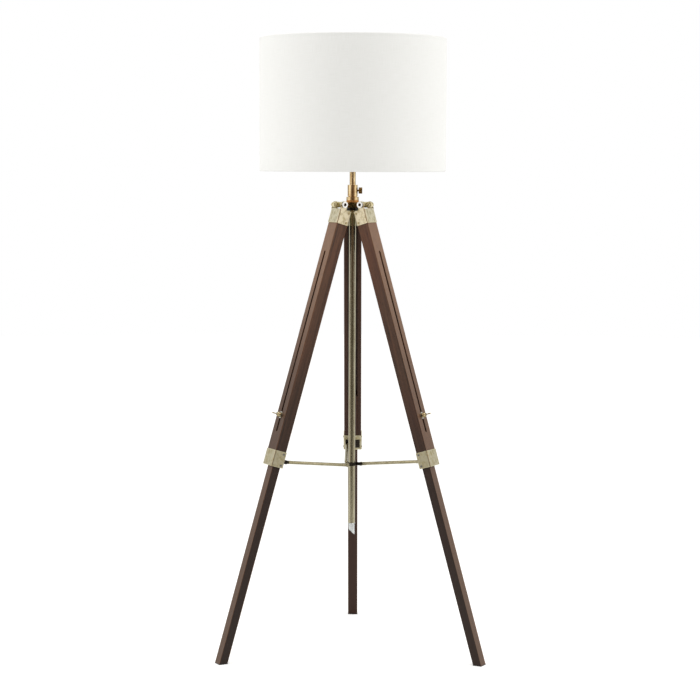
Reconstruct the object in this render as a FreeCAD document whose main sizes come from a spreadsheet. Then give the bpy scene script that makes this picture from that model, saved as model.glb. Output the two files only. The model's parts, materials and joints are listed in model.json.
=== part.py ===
# Tripod floor lamp: three folding, extending wooden legs under a telescopic post with a drum shade.
# Millimetres and degrees, +Z up, the lamp's axis at x = y = 0 and the floor at z = 0.
import FreeCAD
import Part
import Sketcher
import os
import re
from FreeCAD import Vector

doc = FreeCAD.newDocument("TripodLamp")
sheet = doc.addObject("Spreadsheet::Sheet", "Sizes")

# Driving sizes. A leg's own frame has x outwards, y across the leg and z up along it, with its
# outer face in the plane x = 0, so heights that start with a leg part's name run along the leg.
SIZES = {
    # Tripod
    "leg_tilt": 17.0,
    "hinge_station": 1168.562,
    "hinge_inset": 6.845,
    "first_azimuth": 90.0,
    "fit_gap": 0.05,
    "head_gap": 0.1,
    "slide_gap": 0.15,
    "hinge_gap": 0.3,
    "overcut": 1.0,
    # Upper leg: a channel, open on its inner side
    "leg_width": 44.0,
    "leg_depth": 30.5,
    "leg_wall": 8.0,
    "leg_round": 2.0,
    "upper_leg_length": 649.0,
    "slot_start": 83.0,
    "slot_length": 461.0,
    "slot_width": 7.0,
    # Lower leg
    "tongue_width": 25.0,
    "tongue_depth": 22.0,
    "tongue_round": 1.2,
    "tongue_above_bolt": 25.0,
    "pad_height": 2.0,
    # Pressed metal fittings on the upper leg
    "sheet_metal": 1.5,
    "bend_radius": 3.0,
    "collar_lip": 1.5,
    "collar_height": 40.0,
    "cap_height": 36.0,
    "cap_gap": 1.5,
    "ear_height": 11.562,
    "ear_radius": 8.0,
    "screw_radius": 1.4,
    "screw_length": 6.0,
    "pilot_depth": 7.0,
    "screw_head_radius": 2.6,
    "screw_head_height": 1.0,
    "screw_inset": 6.0,
    # Clamp through the slot
    "bolt_rise": 42.0,
    "bolt_radius": 3.0,
    "bolt_reach": 12.5,
    "bolt_head_radius": 7.0,
    "bolt_head_height": 2.6,
    "washer_radius": 8.5,
    "washer_height": 1.2,
    "nut_height": 8.0,
    "nut_base_radius": 6.6,
    "nut_top_radius": 5.0,
    "wing_tip": 16.0,
    "wing_span": 14.5,
    "wing_height": 4.6,
    "wing_plate": 2.4,
    "wing_lift": 1.5,
    "wing_root": 3.0,
    "wing_edge": 11.0,
    "wing_corner": 1.5,
    "wing_fillet": 0.5,
    # Spreader
    "pivot_rise": 17.0,
    "pivot_standoff": 8.0,
    "bracket_width": 37.0,
    "bracket_height": 22.0,
    "bracket_sheet": 1.5,
    "lug_sheet": 2.0,
    "rod_radius": 4.0,
    "rod_offset": 14.5,
    "rod_drop": 19.547,
    "eye_radius": 5.0,
    "eye_gap": 0.1,
    "eye_flat": 15.0,
    "rod_setback": 7.0,
    "pin_radius": 2.0,
    "pin_head_radius": 3.4,
    "pin_head_height": 1.0,
    "ring_depth": 8.0,
    "ring_radius": 11.0,
    "ring_pin_radius": 20.0,
    "ring_lug_sheet": 2.5,
    "ring_lug_gap": 0.3,
    "ring_gap": 0.1,
    # Head casting
    "hinge_radius": 35.8,
    "barrel_radius": 7.0,
    "neck_radius": 10.8,
    "neck_drop": 7.5,
    "neck_rise": 5.5,
    "arm_width": 12.0,
    "arm_depth": 12.0,
    "boss_radius": 49.2,
    "hinge_pin_radius": 4.0,
    "hinge_head_radius": 7.8,
    "hinge_head_height": 3.0,
    "hinge_nut_shank": 2.0,
    "hinge_nut_gap": 0.2,
    "socket_radius": 4.0,
    "socket_depth": 2.2,
    "stop_bolt_radius": 3.0,
    "stop_head_radius": 5.8,
    "stop_head_height": 3.6,
    "stop_nut_radius": 6.2,
    "stop_nut_height": 5.0,
    "stop_bolt_end": 1.5,
    "lock_nut_radius": 14.0,
    "lock_nut_height": 7.4,
    # Centre tube, rings and clamp sleeve
    "tube_radius": 8.5,
    "tube_wall": 0.8,
    "tube_length": 817.3,
    "collar_ring_radius": 15.5,
    "lower_ring_height": 5.4,
    "upper_ring_height": 7.9,
    "groove_height": 1.7,
    "groove_radius": 11.0,
    "sleeve_radius": 12.5,
    "sleeve_height": 28.0,
    "outlet_flange_radius": 9.2,
    "outlet_flange_height": 1.5,
    "outlet_radius": 7.5,
    "outlet_long_side": 30.0,
    "outlet_plug": 14.0,
    "cord_radius": 3.5,
    # Thumb screw
    "thumb_screw_rise": 14.0,
    "thumb_screw_radius": 2.35,
    "knob_start": 14.8,
    "knob_length": 9.0,
    "knob_core_radius": 6.0,
    "knob_lobe_radius": 2.6,
    "knob_lobe_inset": 0.6,
    # Post and lampholder
    "post_radius": 7.6,
    "post_wall": 1.0,
    "post_in_tube": 344.3,
    "post_reach": 39.0,
    "holder_cup_height": 19.0,
    "holder_cup_radius": 15.0,
    "holder_radius": 19.5,
    "holder_shell_height": 30.0,
    "holder_wall": 2.0,
    "holder_plate_height": 5.0,
    "post_in_holder": 10.0,
    "holder_bore_radius": 4.5,
    "contact_radius": 4.0,
    "contact_height": 1.5,
    "shade_nut_radius": 24.5,
    "shade_nut_height": 4.0,
    "bulb_gap": 0.3,
    "bulb_tip_height": 4.0,
    "bulb_cap_radius": 13.0,
    "bulb_cap_height": 25.0,
    "bulb_radius": 30.0,
    "bulb_length": 107.0,
    "bulb_shoulder": 64.16,
    # Shade
    "shade_radius": 230.0,
    "shade_height": 326.0,
    "shade_wall": 1.0,
    "shade_lip": 4.5,
    "wire_radius": 1.5,
    "fitter_rise": 16.0,
    "fitter_drop": 40.5,
    "fitter_radius": 29.0,
    "fitter_sheet": 2.0,
    "arm_overlap": 2.0,
}

# Sizes that follow from the driving ones.
FORMULAS = {
    "half_leg": "leg_width / 2",
    "half_channel": "tongue_width / 2 + slide_gap",
    "hinge_x": "-hinge_inset",
    "foot_radius": "hinge_radius + hinge_station * sin(leg_tilt) - hinge_x * cos(leg_tilt)",
    "hinge_height": "hinge_station * cos(leg_tilt) + hinge_x * sin(leg_tilt)",
    "cap_top": "hinge_station - ear_height",
    "cap_bottom": "cap_top - cap_height",
    "leg_top": "cap_top - sheet_metal - cap_gap",
    "leg_bottom": "leg_top - upper_leg_length",
    "slot_bottom": "leg_bottom + slot_start",
    "slot_top": "slot_bottom + slot_length",
    "collar_bottom": "leg_bottom - collar_lip",
    "collar_top": "collar_bottom + collar_height",
    "bolt_station": "slot_bottom + bolt_rise",
    "pivot_station": "collar_bottom + pivot_rise",
    "tongue_outer": "-leg_wall - slide_gap",
    "tongue_inner": "tongue_outer - tongue_depth",
    "tongue_top": "bolt_station + tongue_above_bolt",
    "sleeve_x_out": "fit_gap + sheet_metal",
    "sleeve_x_in": "-leg_depth - fit_gap - sheet_metal",
    "sleeve_half": "half_leg + fit_gap + sheet_metal",
    "hinge_half": "half_leg + fit_gap - hinge_gap",
    "hinge_seat": "sleeve_half + head_gap",
    "pivot_x": "sleeve_x_in - pivot_standoff",
    "pivot_radius": "foot_radius - pivot_station * sin(leg_tilt) + pivot_x * cos(leg_tilt)",
    "pivot_height": "pivot_station * cos(leg_tilt) + pivot_x * sin(leg_tilt)",
    "rod_run": "pivot_radius - ring_pin_radius",
    "ring_height": "pivot_height - rod_drop",
    "rod_length": "sqrt(rod_run ^ 2 + rod_drop ^ 2)",
    "rod_slope": "atan(rod_drop / rod_run)",
    "eye_low": "rod_offset - rod_radius",
    "neck_bottom": "hinge_height - neck_drop",
    "neck_top": "hinge_height + neck_rise",
    "tube_top": "neck_top + lower_ring_height + upper_ring_height",
    "tube_bottom": "tube_top - tube_length",
    "sleeve_bottom": "tube_top + groove_height",
    "sleeve_top": "sleeve_bottom + sleeve_height",
    "thumb_screw_height": "sleeve_bottom + thumb_screw_rise",
    "post_bottom": "tube_top - post_in_tube",
    "holder_bottom": "sleeve_top + post_reach",
    "shell_bottom": "holder_bottom + holder_cup_height",
    "shell_top": "shell_bottom + holder_shell_height",
    "bulb_bottom": "shell_bottom + holder_plate_height + contact_height + bulb_gap",
    "bulb_centre": "bulb_bottom + bulb_length - bulb_radius",
    "fitter_height": "shell_bottom + fitter_rise",
    "shade_bottom": "fitter_height - fitter_drop",
    "shade_top": "shade_bottom + shade_height",
    "wire_ring_radius": "shade_radius - shade_wall - wire_radius - fit_gap",
    "low_wire_height": "shade_bottom + shade_wall + wire_radius + fit_gap",
    "top_wire_height": "shade_top - shade_wall - wire_radius - fit_gap",
}

for row, (alias, size) in enumerate(SIZES.items(), 1):
    sheet.set(f"A{row}", alias.replace("_", " "))
    sheet.set(f"B{row}", str(size))
    sheet.setAlias(f"B{row}", alias)
doc.recompute()

parts = []


def expression(text):
    """Write out the formula names in a text and point the size names at the sheet."""
    def swap(match):
        word = match.group(0)
        if word in FORMULAS:
            return "(" + expression(FORMULAS[word]) + ")"
        return "Sizes." + word if word in SIZES else word
    return re.sub(r"[a-z][a-z_]*", swap, text)


def value(text):
    return float(sheet.evalExpression(expression(text)))


def bind(item, **sizes):
    for name, text in sizes.items():
        item.setExpression(name, expression(text))
    return item


def placed(x="0", y="0", z="0", axis="z", azimuth="0"):
    """A placement at x, y, z whose own z runs along an axis, turned about the lamp's axis."""
    turn = {"z": "vector(0; 0; 1); 0", "x": "vector(0; 1; 0); 90", "y": "vector(1; 0; 0); -90"}[axis]
    return (f"placement(vector(0; 0; 0); rotation(vector(0; 0; 1); {azimuth}))"
            f" * placement(vector({x}; {y}; {z}); rotation({turn}))")


def leg_azimuth(number):
    return f"(first_azimuth + {120 * (number - 1)})"


def leg_frame(number):
    return (f"placement(vector(0; 0; 0); rotation(vector(0; 0; 1); {leg_azimuth(number)}))"
            " * placement(vector(foot_radius; 0; 0); rotation(vector(0; 1; 0); -leg_tilt))")


def box(x, y, z, azimuth="0"):
    """A box from three pairs of limits."""
    item = doc.addObject("Part::Box", "Box")
    bind(item, Length=f"{x[1]} - ({x[0]})", Width=f"{y[1]} - ({y[0]})", Height=f"{z[1]} - ({z[0]})")
    return bind(item, Placement=placed(x[0], y[0], z[0], azimuth=azimuth))


def cylinder(radius, start, end, x="0", y="0", z="0", axis="z", azimuth="0"):
    """A cylinder along an axis from start to end; the coordinate of that axis is left out."""
    item = doc.addObject("Part::Cylinder", "Cylinder")
    where = {"x": x, "y": y, "z": z}
    where[axis] = start
    bind(item, Radius=radius, Height=f"{end} - ({start})")
    return bind(item, Placement=placed(**where, axis=axis, azimuth=azimuth))


def cone(start_radius, end_radius, start, end, axis="z"):
    item = doc.addObject("Part::Cone", "Cone")
    where = {axis: start}
    bind(item, Radius1=start_radius, Radius2=end_radius, Height=f"{end} - ({start})")
    return bind(item, Placement=placed(**where, axis=axis))


def hexagon(radius, start, end, x="0", z="0", azimuth="0", axis="y"):
    """A hexagonal prism measured to its corners."""
    item = doc.addObject("Part::Prism", "Prism")
    item.Polygon = 6
    where = {"x": x, "z": z}
    where[axis] = start
    bind(item, Circumradius=radius, Height=f"{end} - ({start})")
    return bind(item, Placement=placed(**where, axis=axis, azimuth=azimuth))


def torus(radius, wire, z):
    item = doc.addObject("Part::Torus", "Torus")
    return bind(item, Radius1=radius, Radius2=wire, Placement=placed(z=z))


def joined(*pieces):
    if len(pieces) == 1:
        return pieces[0]
    item = doc.addObject("Part::MultiFuse", "Fuse")
    item.Shapes = list(pieces)
    item.Refine = True
    return item


def without(base, *tools):
    item = doc.addObject("Part::Cut", "Cut")
    item.Base = base
    item.Tool = joined(*tools)
    item.Refine = True
    return item


def grouped(*pieces):
    item = doc.addObject("Part::Compound", "Group")
    item.Links = list(pieces)
    return item


def part(label, item, placement=None):
    """Register an object as a sub-part, with an optional placement."""
    item.Label = label
    if placement:
        bind(item, Placement=placement)
    parts.append(item)
    return item


def new_body():
    return doc.addObject("PartDesign::Body", "Body")


def add_sketch(body, plane, lift="0"):
    sketch = body.newObject("Sketcher::SketchObject", "Sketch")
    plane_object = [item for item in body.Origin.OriginFeatures if item.Role == plane][0]
    sketch.AttachmentSupport = [(plane_object, "")]
    sketch.MapMode = "FlatFace"
    sketch.setExpression("AttachmentOffset.Base.z", expression(lift))
    return sketch


def polygon(body, plane, points, lift="0"):
    """A sketch of one closed outline, with each corner tied to the sheet."""
    sketch = add_sketch(body, plane, lift)
    corners = [Vector(value(x), value(y), 0) for x, y in points]
    count = len(points)
    for index in range(count):
        sketch.addGeometry(Part.LineSegment(corners[index], corners[(index + 1) % count]), False)
    for index in range(count):
        sketch.addConstraint(Sketcher.Constraint("Coincident", index, 2, (index + 1) % count, 1))
    for index, (x, y) in enumerate(points):
        for kind, text, number in (("DistanceX", x, corners[index].x), ("DistanceY", y, corners[index].y)):
            place = sketch.addConstraint(Sketcher.Constraint(kind, -1, 1, index, 1, number))
            sketch.setExpression(f"Constraints[{place}]", expression(text))
    return sketch


def circles(body, plane, rounds, lift="0"):
    """A sketch of circles given as x, y and radius."""
    sketch = add_sketch(body, plane, lift)
    for index, (x, y, radius) in enumerate(rounds):
        centre = Vector(value(x), value(y), 0)
        sketch.addGeometry(Part.Circle(centre, Vector(0, 0, 1), value(radius)), False)
        for kind, text, number in (("DistanceX", x, centre.x), ("DistanceY", y, centre.y)):
            place = sketch.addConstraint(Sketcher.Constraint(kind, -1, 1, index, 3, number))
            sketch.setExpression(f"Constraints[{place}]", expression(text))
        place = sketch.addConstraint(Sketcher.Constraint("Radius", index, value(radius)))
        sketch.setExpression(f"Constraints[{place}]", expression(radius))
    return sketch


def rectangle(x, y):
    return [(x[0], y[0]), (x[1], y[0]), (x[1], y[1]), (x[0], y[1])]


def pad(body, sketch, length, midplane=False, reversed_side=False):
    item = body.newObject("PartDesign::Pad", "Pad")
    item.Profile = sketch
    item.Midplane = midplane
    item.Reversed = reversed_side
    return bind(item, Length=length)


def pocket(body, sketch, length, midplane=False, reversed_side=False):
    item = body.newObject("PartDesign::Pocket", "Pocket")
    item.Profile = sketch
    item.Midplane = midplane
    item.Reversed = reversed_side
    return bind(item, Length=length)


def revolve(body, sketch):
    item = body.newObject("PartDesign::Revolution", "Revolution")
    item.Profile = sketch
    item.ReferenceAxis = (sketch, ["V_Axis"])
    item.Angle = 360
    return item


def fillet(body, radius, chosen):
    """Round the edges of the body's last feature that a test picks."""
    doc.recompute()
    base = body.Tip
    names = [f"Edge{index}" for index, edge in enumerate(base.Shape.Edges, 1) if chosen(edge)]
    item = body.newObject("PartDesign::Fillet", "Fillet")
    item.Base = (base, names)
    return bind(item, Radius=radius)


def runs_along(edge, axis):
    ends = [vertex.Point for vertex in edge.Vertexes]
    return len(ends) == 2 and abs((ends[1] - ends[0]).normalize().dot(axis)) > 0.999


def upper_leg(number):
    """The wooden upper leg: a channel with a long slot in its outer wall."""
    body = new_body()
    outline = [("-leg_depth", "-half_leg"), ("0", "-half_leg"), ("0", "half_leg"),
               ("-leg_depth", "half_leg"), ("-leg_depth", "half_channel"),
               ("-leg_wall", "half_channel"), ("-leg_wall", "-half_channel"),
               ("-leg_depth", "-half_channel")]
    pad(body, polygon(body, "XY_Plane", outline, "leg_bottom"), "leg_top - leg_bottom")
    corner = value("half_leg")
    fillet(body, "leg_round", lambda edge: runs_along(edge, Vector(0, 0, 1))
           and abs(abs(edge.CenterOfMass.y) - corner) < 0.01)
    sides = rectangle(("-slot_width / 2", "slot_width / 2"),
                      ("slot_bottom + slot_width / 2", "slot_top - slot_width / 2"))
    pocket(body, polygon(body, "YZ_Plane", sides), "leg_wall + overcut")
    ends = [("0", "slot_bottom + slot_width / 2", "slot_width / 2"),
            ("0", "slot_top - slot_width / 2", "slot_width / 2")]
    pocket(body, circles(body, "YZ_Plane", ends), "leg_wall + overcut")
    holes = [(x, z, "screw_radius + fit_gap") for x, z in screw_places("collar") + screw_places("cap")]
    for side, turned in (("-half_leg", True), ("half_leg", False)):
        pocket(body, circles(body, "XZ_Plane", holes, side), "pilot_depth", False, turned)
    part(f"upper_leg_{number}", body, leg_frame(number))


def screw_places(fitting):
    """Where the two small screws sit on each side of a collar or cap, in x and z."""
    low, high = f"{fitting}_bottom + screw_inset", f"{fitting}_top - screw_inset"
    return [("screw_inset - leg_depth", low), ("screw_inset - leg_depth", high)]


def lower_leg(number):
    """The wooden lower leg, which slides in the upper one, with its foot cut level."""
    body = new_body()
    section = rectangle(("tongue_inner", "tongue_outer"), ("-tongue_width / 2", "tongue_width / 2"))
    pad(body, polygon(body, "XY_Plane", section), "tongue_top")
    fillet(body, "tongue_round", lambda edge: runs_along(edge, Vector(0, 0, 1)))
    level = "(pad_height - ({x}) * sin(leg_tilt)) / cos(leg_tilt)"
    near, far, below = "tongue_outer + overcut", "tongue_inner - overcut", "-overcut"
    wedge = [(near, level.format(x=near)), (far, level.format(x=far)), (far, below), (near, below)]
    pocket(body, polygon(body, "XZ_Plane", wedge), "tongue_width + 2 * overcut", True)
    hole = [("0", "bolt_station", "bolt_radius + fit_gap")]
    pocket(body, circles(body, "YZ_Plane", hole), "leg_wall + slide_gap + tongue_depth + overcut")
    part(f"lower_leg_{number}", body, leg_frame(number))


def foot_pad(number):
    """A thin pad under the level foot."""
    near = "foot_radius - pad_height * tan(leg_tilt) + tongue_inner / cos(leg_tilt)"
    far = "foot_radius - pad_height * tan(leg_tilt) + tongue_outer / cos(leg_tilt)"
    half = "tongue_width / 2"
    slab = box((near, far), (f"-{half}", half), ("0", "pad_height"))
    part(f"foot_pad_{number}", slab, placed(near, f"-{half}", azimuth=leg_azimuth(number)))


def sleeve(body, bottom, height, closed_top):
    """A pressed sleeve round the upper leg, with or without a top."""
    outer = rectangle(("sleeve_x_in", "sleeve_x_out"), ("-sleeve_half", "sleeve_half"))
    pad(body, polygon(body, "XY_Plane", outer, bottom), height)
    fillet(body, "bend_radius", lambda edge: runs_along(edge, Vector(0, 0, 1)))
    inner = rectangle(("-leg_depth - fit_gap", "fit_gap"), ("-half_leg - fit_gap", "half_leg + fit_gap"))
    depth = f"{height} - sheet_metal" if closed_top else height
    pocket(body, polygon(body, "XY_Plane", inner, bottom), depth, False, True)
    wall = value("half_leg + fit_gap")
    ends = value("-leg_depth - fit_gap"), value("fit_gap")
    fillet(body, "bend_radius - sheet_metal", lambda edge: runs_along(edge, Vector(0, 0, 1))
           and abs(abs(edge.CenterOfMass.y) - wall) < 0.01
           and min(abs(edge.CenterOfMass.x - end) for end in ends) < 0.01)


def screw_holes(body, fitting):
    holes = [(x, z, "screw_radius + fit_gap") for x, z in screw_places(fitting)]
    pocket(body, circles(body, "XZ_Plane", holes), "2 * (sleeve_half + overcut)", True)


def collar(number):
    """The collar at the foot of the upper leg."""
    body = new_body()
    sleeve(body, "collar_bottom", "collar_height", False)
    screw_holes(body, "collar")
    part(f"collar_{number}", body, leg_frame(number))


def leg_cap(number):
    """The cap on the upper leg, whose two ears take the hinge."""
    body = new_body()
    sleeve(body, "cap_bottom", "cap_height", True)
    tongue = rectangle(("hinge_x - ear_radius", "hinge_x + ear_radius"),
                       ("cap_top - sheet_metal", "hinge_station"))
    for face in ("sleeve_half", "-half_leg - fit_gap"):
        pad(body, polygon(body, "XZ_Plane", tongue, face), "sheet_metal", False, True)
        round_end = [("hinge_x", "hinge_station", "ear_radius")]
        pad(body, circles(body, "XZ_Plane", round_end, face), "sheet_metal", False, True)
    hole = [("hinge_x", "hinge_station", "hinge_pin_radius + fit_gap")]
    pocket(body, circles(body, "XZ_Plane", hole), "2 * (sleeve_half + overcut)", True)
    screw_holes(body, "cap")
    part(f"leg_cap_{number}", body, leg_frame(number))


def wood_screws(number):
    """The small screws that hold the collar and the cap to the wood."""
    screws = []
    for x, z in screw_places("collar") + screw_places("cap"):
        for side in (1, -1):
            stations = [f"{side} * (half_leg - screw_length)", f"{side} * sleeve_half",
                        f"{side} * (sleeve_half + screw_head_height)"]
            low, middle, high = stations if side > 0 else stations[::-1]
            shank, head = ((low, middle), (middle, high)) if side > 0 else ((middle, high), (low, middle))
            screws.append(joined(cylinder("screw_radius", *shank, x=x, z=z, axis="y"),
                                 cylinder("screw_head_radius", *head, x=x, z=z, axis="y")))
    part(f"wood_screws_{number}", grouped(*screws), leg_frame(number))


def rod_bracket(number):
    """A dark bracket on the collar's inner face, with two ears for the spreader rod."""
    base_in = "sleeve_x_in - bracket_sheet"
    middle = "pivot_station"
    plate = box((base_in, "sleeve_x_in"), ("-bracket_width / 2", "bracket_width / 2"),
                (f"{middle} - bracket_height / 2", f"{middle} + bracket_height / 2"))
    ears = []
    for low in ("eye_low - eye_gap - lug_sheet", "eye_low + rod_radius + eye_gap"):
        across = (low, f"{low} + lug_sheet")
        ears.append(box(("pivot_x", "sleeve_x_in"), across,
                        (f"{middle} - eye_radius", f"{middle} + eye_radius")))
        ears.append(cylinder("eye_radius", *across, x="pivot_x", z=middle, axis="y"))
    hole = cylinder("pin_radius + fit_gap", "0", "bracket_width / 2", x="pivot_x", z=middle, axis="y")
    part(f"rod_bracket_{number}", without(joined(plate, *ears), hole), leg_frame(number))


def rod_pin(number):
    """The rivet through the bracket's ears and the rod's eye."""
    play = "eye_gap + fit_gap"
    low, high = f"eye_low - ({play}) - lug_sheet", f"eye_low + rod_radius + {play} + lug_sheet"
    where = dict(x="pivot_x", z="pivot_station", axis="y")
    pin = joined(cylinder("pin_radius", low, high, **where),
                 cylinder("pin_head_radius", f"{low} - pin_head_height", low, **where),
                 cylinder("pin_head_radius", high, f"{high} + pin_head_height", **where))
    part(f"rod_pin_{number}", pin, leg_frame(number))


def spreader_rod(number):
    """A round rod with flattened eyes, built along x from the leg's pivot to the ring's rivet."""
    across = ("eye_low", "eye_low + rod_radius")
    pieces = [cylinder("rod_radius", "rod_setback", "rod_length - rod_setback", y="rod_offset", axis="x")]
    for x, start, end in (("0", "0", "eye_flat"), ("rod_length", "rod_length - eye_flat", "rod_length")):
        pieces.append(cylinder("eye_radius", *across, x=x, axis="y"))
        pieces.append(box((start, end), across, ("-rod_radius", "rod_radius")))
    face = "eye_low + rod_radius"
    rivet = cylinder("pin_head_radius", face, f"{face} + pin_head_height", x="rod_length", axis="y")
    eye_hole = cylinder("pin_radius + fit_gap", "0", "rod_offset + rod_radius + overcut", axis="y")
    part(f"spreader_rod_{number}", without(joined(*pieces, rivet), eye_hole), rod_frame(number))


def rod_frame(number):
    return (f"placement(vector(0; 0; 0); rotation(vector(0; 0; 1); {leg_azimuth(number)}))"
            " * placement(vector(pivot_radius; 0; pivot_height); rotation(vector(0; 1; 0); 180 deg - rod_slope))")


def spreader_ring():
    """The ring that slides on the centre tube, with a lug beside each rod."""
    low, high = "ring_height - ring_depth / 2", "ring_height + ring_depth / 2"
    pieces = [cylinder("ring_radius", low, high)]
    across = ("eye_low - ring_lug_gap - ring_lug_sheet", "eye_low - ring_lug_gap")
    for number in (1, 2, 3):
        azimuth = leg_azimuth(number)
        pieces.append(box(("0", "ring_pin_radius"), across, (low, high), azimuth))
        pieces.append(cylinder("ring_depth / 2", *across, x="ring_pin_radius", z="ring_height",
                               axis="y", azimuth=azimuth))
    bore = cylinder("tube_radius + ring_gap", f"{low} - overcut", f"{high} + overcut")
    part("spreader_ring", without(joined(*pieces), bore))


def clamp_bolt(number):
    """The bolt through the lower leg and the slot, with its head in the channel."""
    where = dict(z="bolt_station", axis="x")
    bolt = joined(cylinder("bolt_radius", "tongue_inner", "bolt_reach", **where),
                  cylinder("bolt_head_radius", "tongue_inner - bolt_head_height", "tongue_inner", **where))
    part(f"clamp_bolt_{number}", bolt, leg_frame(number))


def washer(number):
    where = dict(z="bolt_station", axis="x")
    disc = without(cylinder("washer_radius", "fit_gap", "fit_gap + washer_height", **where),
                   cylinder("bolt_radius + fit_gap", "0", "washer_height + overcut", **where))
    part(f"washer_{number}", disc, leg_frame(number))


def wing_nut(number):
    """A wing nut: a tapered hub with two splayed wings."""
    base = "washer_height + 2 * fit_gap"
    hub = new_body()
    profile = [("0", "0"), ("nut_base_radius", "0"), ("nut_top_radius", "nut_height"), ("0", "nut_height")]
    revolve(hub, polygon(hub, "XZ_Plane", profile))
    for side in ("", "-"):
        wing = [(f"{side}wing_root", "wing_lift"), (f"{side}nut_base_radius", "wing_lift"),
                (f"{side}wing_span", "wing_edge"), (f"{side}(wing_span - wing_corner)", "wing_tip"),
                (f"{side}(wing_span - wing_height)", "wing_tip"),
                (f"{side}wing_root", "nut_height - wing_fillet")]
        pad(hub, polygon(hub, "XZ_Plane", wing), "wing_plate", True)
    pocket(hub, circles(hub, "XY_Plane", [("0", "0", "bolt_radius + fit_gap")]), "nut_height", False, True)
    turn = (f"placement(vector({base}; 0; bolt_station);"
            " rotation(vector(0; 1; 0); 90) * rotation(vector(0; 0; 1); 90))")
    part(f"wing_nut_{number}", hub, leg_frame(number) + " * " + turn)


def hub():
    """The cast head: a neck with three arms, each with a hinge barrel and an end boss."""
    low = "hinge_height - barrel_radius"
    solid = [cylinder("neck_radius", "neck_bottom", "neck_top")]
    holes = [cylinder("tube_radius + fit_gap", "neck_bottom - overcut", "neck_top + overcut")]
    half_arm = "arm_width / 2"
    for number in (1, 2, 3):
        azimuth = leg_azimuth(number)
        turned = dict(z="hinge_height", axis="y", azimuth=azimuth)
        solid.append(box(("0", "boss_radius"), (f"-{half_arm}", half_arm), (low, f"{low} + arm_depth"), azimuth))
        solid.append(cylinder("barrel_radius", "-hinge_half", "hinge_half", x="hinge_radius", **turned))
        solid.append(cylinder("barrel_radius", f"-{half_arm}", half_arm, x="boss_radius", **turned))
        holes.append(cylinder("hinge_pin_radius + fit_gap", "-leg_width", "leg_width", x="hinge_radius", **turned))
        holes.append(cylinder("stop_bolt_radius + fit_gap", "-arm_width", "arm_width", x="boss_radius", **turned))
    part("hub", without(joined(*solid), *holes))


def hinge_hardware():
    """A socket-head bolt and sleeve nut in each hinge, and a bolt and nut in each arm's end."""
    bolts, nuts, stop_bolts, stop_nuts = [], [], [], []
    half_arm = "arm_width / 2"
    for number in (1, 2, 3):
        hinge = dict(x="hinge_radius", z="hinge_height", axis="y", azimuth=leg_azimuth(number))
        boss = dict(x="boss_radius", z="hinge_height", axis="y", azimuth=leg_azimuth(number))
        end = "hinge_seat + hinge_head_height"
        bolt = joined(cylinder("hinge_pin_radius", "hinge_nut_shank - half_leg", "hinge_seat", **hinge),
                      cylinder("hinge_head_radius", "hinge_seat", end, **hinge))
        socket = hexagon("socket_radius", f"{end} - socket_depth", f"{end} + overcut", **hinge)
        bolts.append(without(bolt, socket))
        nut_end = "hinge_nut_shank - hinge_nut_gap - half_leg"
        nut = joined(cylinder("hinge_pin_radius", "-hinge_seat", nut_end, **hinge),
                     cylinder("hinge_head_radius", f"-({end})", "-hinge_seat", **hinge))
        socket = hexagon("socket_radius", f"-({end}) - overcut", f"-({end}) + socket_depth", **hinge)
        nuts.append(without(nut, socket))
        stop_bolts.append(joined(
            cylinder("stop_bolt_radius", f"-{half_arm} - stop_nut_height - stop_bolt_end", half_arm, **boss),
            cylinder("stop_head_radius", half_arm, f"{half_arm} + stop_head_height", **boss)))
        stop_nuts.append(without(
            hexagon("stop_nut_radius", f"-{half_arm} - stop_nut_height", f"-{half_arm}", **boss),
            cylinder("stop_bolt_radius + fit_gap", f"-{half_arm} - stop_nut_height - overcut", "0", **boss)))
    part("hinge_bolts", grouped(*bolts))
    part("hinge_nuts", grouped(*nuts))
    part("stop_bolts", grouped(*stop_bolts))
    part("stop_nuts", grouped(*stop_nuts))


def tube(label, outer, inner, bottom, top):
    bore = cylinder(inner, f"{bottom} - overcut", f"{top} + overcut")
    part(label, without(cylinder(outer, bottom, top), bore))


def spindle():
    """The centre tube, its lock nut and the rings stacked on the head."""
    bore = "tube_radius + fit_gap"
    tube("centre_tube", "tube_radius", "tube_radius - tube_wall", "tube_bottom", "tube_top")
    nut_low = "neck_bottom - lock_nut_height"
    part("lock_nut", without(hexagon("lock_nut_radius", nut_low, "neck_bottom", axis="z"),
                             cylinder(bore, f"{nut_low} - overcut", "neck_bottom + overcut")))
    middle = "neck_top + lower_ring_height"
    tube("lower_ring", "collar_ring_radius", bore, "neck_top", middle)
    tube("upper_ring", "collar_ring_radius", bore, middle, "tube_top")
    sleeve_body = joined(cylinder("groove_radius", "tube_top", "sleeve_bottom"),
                         cylinder("sleeve_radius", "sleeve_bottom", "sleeve_top"))
    post_bore = cylinder("post_radius + fit_gap", "tube_top - overcut", "sleeve_top + overcut")
    screw_hole = cylinder("thumb_screw_radius + fit_gap", "0", "sleeve_radius + overcut",
                          z="thumb_screw_height", axis="x")
    part("clamp_sleeve", without(sleeve_body, post_bore, screw_hole))


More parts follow.
